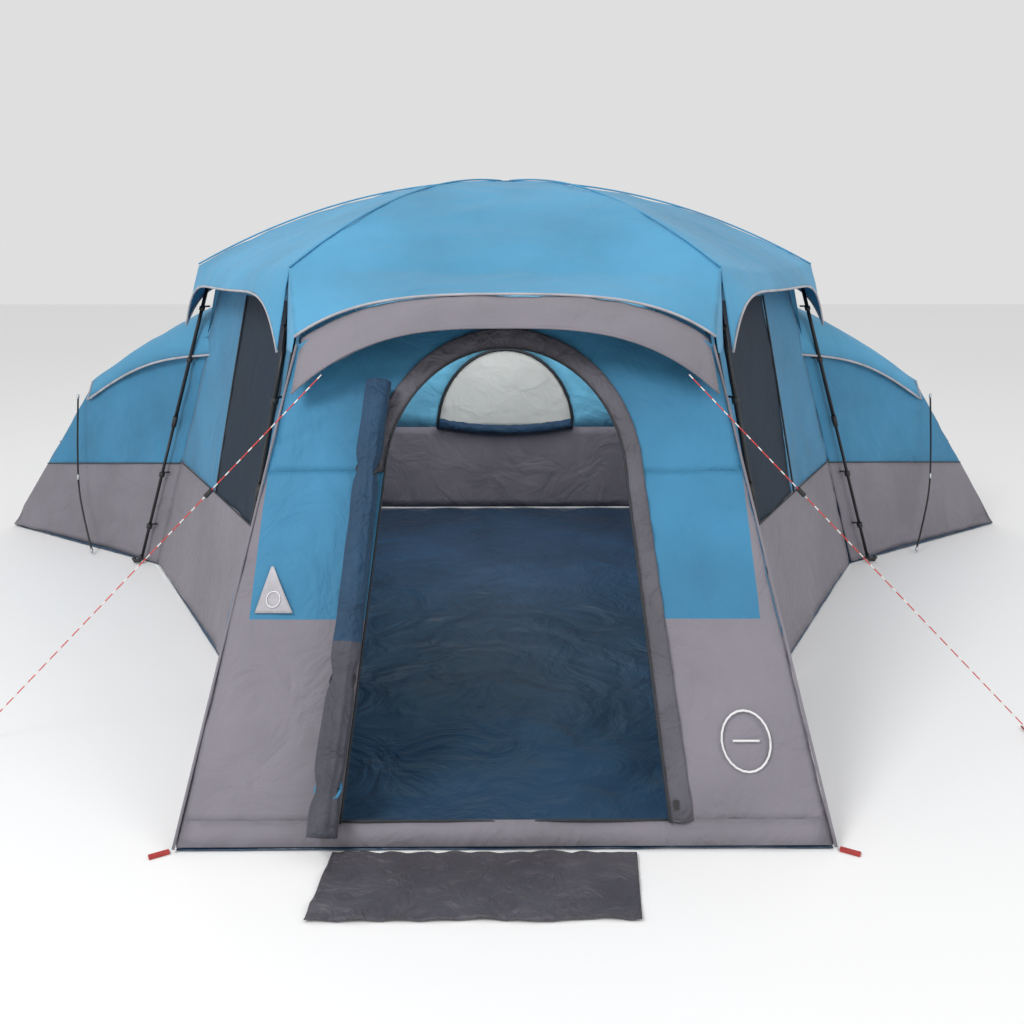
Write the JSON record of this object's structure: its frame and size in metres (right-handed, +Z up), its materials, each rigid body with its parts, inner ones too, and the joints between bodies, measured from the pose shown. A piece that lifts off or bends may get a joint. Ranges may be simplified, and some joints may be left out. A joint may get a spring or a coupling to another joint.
{
  "type": "pop up tent",
  "caption": "Large quick-pitch family tent: domed hub-frame roof on folding legs, sloping front room with arched door and visor, and two side wings.",
  "frame": {"origin": "on the ground under the hub, at the underside of the groundsheet", "axes": "+Z up, the door faces -Y, +X to the right seen from the front"},
  "size_m": [6.3764, 5.0486, 2.183],
  "materials": {
    "roof_fabric": "satin",
    "wall_fabric": "satin",
    "skirt_fabric": "matte",
    "dark_fabric": "matte",
    "floor_fabric": "satin",
    "mesh_fabric": "matte",
    "pole": "satin",
    "plastic": "matte",
    "peg": "satin",
    "webbing": "matte",
    "cord": "matte"
  },
  "bodies": {
    "shelter": {"groundsheet": "floor_fabric", "roof_gore_1": "roof_fabric", "roof_gore_2": "roof_fabric", "roof_gore_3": "roof_fabric", "roof_gore_4": "roof_fabric", "roof_gore_5": "roof_fabric", "roof_gore_6": "roof_fabric", "apex_patch": "roof_fabric", "back_wall": "wall_fabric", "back_window_mesh": "mesh_fabric", "back_window_roll": "dark_fabric", "front_wall": "wall_fabric", "door_visor": "skirt_fabric", "rolled_door": "dark_fabric", "window_wall_left": "wall_fabric", "wing_near_wall_left": "wall_fabric", "wing_far_wall_left": "wall_fabric", "wing_end_wall_left": "wall_fabric", "wing_roof_left": "roof_fabric", "front_side_wall_left": "wall_fabric", "window_wall_right": "wall_fabric", "wing_near_wall_right": "wall_fabric", "wing_far_wall_right": "wall_fabric", "wing_end_wall_right": "wall_fabric", "wing_roof_right": "roof_fabric", "front_side_wall_right": "wall_fabric", "guyline_left": "cord", "guyline_right": "cord", "guy_peg_left": "peg", "guy_peg_right": "peg", "corner_loop_left": "webbing", "corner_loop_right": "webbing"},
    "hub": {"hub": "plastic"},
    "arm_front_left": {"arm_front_left": "pole"},
    "leg_front_left": {"leg_front_left": "pole", "foot_front_left": "plastic"},
    "arm_mid_left": {"arm_mid_left": "pole"},
    "leg_mid_left": {"leg_mid_left": "pole", "foot_mid_left": "plastic"},
    "arm_back_left": {"arm_back_left": "pole"},
    "leg_back_left": {"leg_back_left": "pole", "foot_back_left": "plastic"},
    "arm_back_right": {"arm_back_right": "pole"},
    "leg_back_right": {"leg_back_right": "pole", "foot_back_right": "plastic"},
    "arm_mid_right": {"arm_mid_right": "pole"},
    "leg_mid_right": {"leg_mid_right": "pole", "foot_mid_right": "plastic"},
    "arm_front_right": {"arm_front_right": "pole"},
    "leg_front_right": {"leg_front_right": "pole", "foot_front_right": "plastic"},
    "mat": {"entrance_mat": "dark_fabric"},
    "port_cover": {"cable_port_flap": "skirt_fabric"},
    "zip_slider": {"door_zip_slider": "plastic"},
    "runner_left": {"guy_runner_left": "plastic"},
    "runner_right": {"guy_runner_right": "plastic"},
    "wing_pole_left": {"wing_pole_left": "pole"},
    "wing_pole_right": {"wing_pole_right": "pole"}
  },
  "joints": [
    {"name": "hub_fold", "type": "slide", "parent": "shelter", "child": "hub", "axis": [0, 0, -1], "range_m": [0, 1.7], "deforming": ["roof_gore_1", "roof_gore_2", "roof_gore_3", "roof_gore_4", "roof_gore_5", "roof_gore_6", "apex_patch", "back_wall", "back_window_mesh", "back_window_roll", "front_wall", "door_visor", "rolled_door", "window_wall_left", "wing_near_wall_left", "wing_far_wall_left", "wing_end_wall_left", "wing_roof_left", "front_side_wall_left", "window_wall_right", "wing_near_wall_right", "wing_far_wall_right", "wing_end_wall_right", "wing_roof_right", "front_side_wall_right", "guyline_left", "guyline_right"]},
    {"name": "arm_front_left_hinge", "type": "hinge", "parent": "hub", "child": "arm_front_left", "pos_m": [-0.03624, -0.06222, 2.085], "axis": [-0.8641, 0.5033, 0], "range_deg": [0, 99.08]},
    {"name": "leg_front_left_hinge", "type": "hinge", "parent": "arm_front_left", "child": "leg_front_left", "pos_m": [-0.8586, -1.4742, 1.66], "axis": [-0.8641, 0.5033, 0], "range_deg": [-111.87, 0]},
    {"name": "arm_mid_left_hinge", "type": "hinge", "parent": "hub", "child": "arm_mid_left", "pos_m": [-0.072, 0, 2.085], "axis": [0, 1, 0], "range_deg": [0, 99.33]},
    {"name": "leg_mid_left_hinge", "type": "hinge", "parent": "arm_mid_left", "child": "leg_mid_left", "pos_m": [-1.6767, 0, 1.66], "axis": [0, 1, 0], "range_deg": [-111.9, 0]},
    {"name": "arm_back_left_hinge", "type": "hinge", "parent": "hub", "child": "arm_back_left", "pos_m": [-0.04884, 0.05291, 2.085], "axis": [0.7348, 0.6783, 0], "range_deg": [0, 101.84]},
    {"name": "leg_back_left_hinge", "type": "hinge", "parent": "arm_back_left", "child": "leg_back_left", "pos_m": [-0.972, 1.053, 1.66], "axis": [0.7348, 0.6783, 0], "range_deg": [-112.49, 0]},
    {"name": "arm_back_right_hinge", "type": "hinge", "parent": "hub", "child": "arm_back_right", "pos_m": [0.04884, 0.05291, 2.085], "axis": [0.7348, -0.6783, 0], "range_deg": [0, 101.84]},
    {"name": "leg_back_right_hinge", "type": "hinge", "parent": "arm_back_right", "child": "leg_back_right", "pos_m": [0.972, 1.053, 1.66], "axis": [0.7348, -0.6783, 0], "range_deg": [-112.49, 0]},
    {"name": "arm_mid_right_hinge", "type": "hinge", "parent": "hub", "child": "arm_mid_right", "pos_m": [0.072, 0, 2.085], "axis": [0, -1, 0], "range_deg": [0, 99.33]},
    {"name": "leg_mid_right_hinge", "type": "hinge", "parent": "arm_mid_right", "child": "leg_mid_right", "pos_m": [1.6767, 0, 1.66], "axis": [0, -1, 0], "range_deg": [-111.9, 0]},
    {"name": "arm_front_right_hinge", "type": "hinge", "parent": "hub", "child": "arm_front_right", "pos_m": [0.03624, -0.06222, 2.085], "axis": [-0.8641, -0.5033, 0], "range_deg": [0, 99.08]},
    {"name": "leg_front_right_hinge", "type": "hinge", "parent": "arm_front_right", "child": "leg_front_right", "pos_m": [0.8586, -1.4742, 1.66], "axis": [-0.8641, -0.5033, 0], "range_deg": [-111.87, 0]},
    {"name": "mat_fold", "type": "hinge", "parent": "shelter", "child": "mat", "pos_m": [0, -2.706, 0.006], "axis": [-1, 0, 0], "range_deg": [0, 80]},
    {"name": "port_cover_lift", "type": "hinge", "parent": "shelter", "child": "port_cover", "pos_m": [-0.772, -2.3142, 0.722], "axis": [-1, 0, 0], "range_deg": [0, 60]},
    {"name": "door_zip_slide", "type": "slide", "parent": "shelter", "child": "zip_slider", "axis": [-0.0663, 0.4722, 0.879], "range_m": [0, 0.8]},
    {"name": "guy_runner_left_slide", "type": "slide", "parent": "shelter", "child": "runner_left", "axis": [-0.691, 0.0765, -0.7188], "range_m": [-0.3, 0.5]},
    {"name": "guy_runner_right_slide", "type": "slide", "parent": "shelter", "child": "runner_right", "axis": [0.691, 0.0765, -0.7188], "range_m": [-0.3, 0.5]},
    {"name": "wing_pole_left_hinge", "type": "hinge", "parent": "shelter", "child": "wing_pole_left", "pos_m": [-2.42, 0.19, 0.012], "axis": [0.8311, -0.5561, 0], "range_deg": [0, 96.5]},
    {"name": "wing_pole_right_hinge", "type": "hinge", "parent": "shelter", "child": "wing_pole_right", "pos_m": [2.42, 0.19, 0.012], "axis": [0.8311, 0.5561, 0], "range_deg": [0, 96.5]}
  ],
  "couplings": [
    {"joint": "arm_front_left_hinge", "follows": "hub_fold", "rad_per_m": 1.0121},
    {"joint": "leg_front_left_hinge", "follows": "hub_fold", "rad_per_m": -1.1434},
    {"joint": "arm_mid_left_hinge", "follows": "hub_fold", "rad_per_m": 1.0147},
    {"joint": "leg_mid_left_hinge", "follows": "hub_fold", "rad_per_m": -1.1437},
    {"joint": "arm_back_left_hinge", "follows": "hub_fold", "rad_per_m": 1.0404},
    {"joint": "leg_back_left_hinge", "follows": "hub_fold", "rad_per_m": -1.1498},
    {"joint": "arm_back_right_hinge", "follows": "hub_fold", "rad_per_m": 1.0404},
    {"joint": "leg_back_right_hinge", "follows": "hub_fold", "rad_per_m": -1.1498},
    {"joint": "arm_mid_right_hinge", "follows": "hub_fold", "rad_per_m": 1.0147},
    {"joint": "leg_mid_right_hinge", "follows": "hub_fold", "rad_per_m": -1.1437},
    {"joint": "arm_front_right_hinge", "follows": "hub_fold", "rad_per_m": 1.0121},
    {"joint": "leg_front_right_hinge", "follows": "hub_fold", "rad_per_m": -1.1434},
    {"joint": "wing_pole_left_hinge", "follows": "hub_fold", "rad_per_m": 0.9856},
    {"joint": "wing_pole_right_hinge", "follows": "hub_fold", "rad_per_m": 0.9856}
  ]
}
